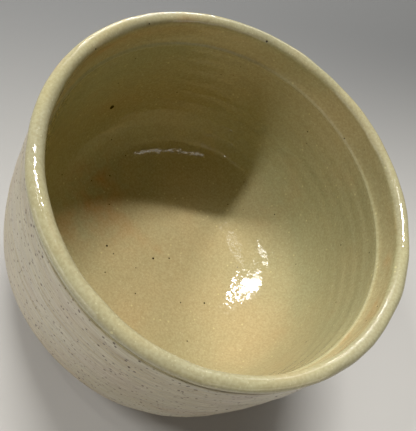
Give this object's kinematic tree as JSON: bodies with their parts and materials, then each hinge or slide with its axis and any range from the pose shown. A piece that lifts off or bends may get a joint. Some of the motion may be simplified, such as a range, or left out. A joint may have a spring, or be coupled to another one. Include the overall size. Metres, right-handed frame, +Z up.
{
  "type": "yarn bowl",
  "caption": "Deep wheel-thrown stoneware yarn bowl with a rolled glazed lip, an inside ledge, brushed white slip outside and a bare trimmed foot ring.",
  "frame": {"origin": "centre of the foot ring's flat underside, on the surface that the bowl stands on", "axes": "+Z up through the middle of the mouth, the axis the bowl was turned about; the bowl is round, so +X and +Y are free"},
  "size_m": [0.156, 0.156, 0.104],
  "materials": {
    "bare_stoneware": "matt, fine grog, trimming lines",
    "oatmeal_glaze": "glossy, mottled oatmeal to celadon, fine iron specks",
    "brushed_slip": "satin clear coat over brushed slip, with pits and specks"
  },
  "bodies": {
    "root": {"stoneware_body": "bare_stoneware", "inner_glaze": "oatmeal_glaze", "outer_slip": "brushed_slip"}
  },
  "joints": []
}
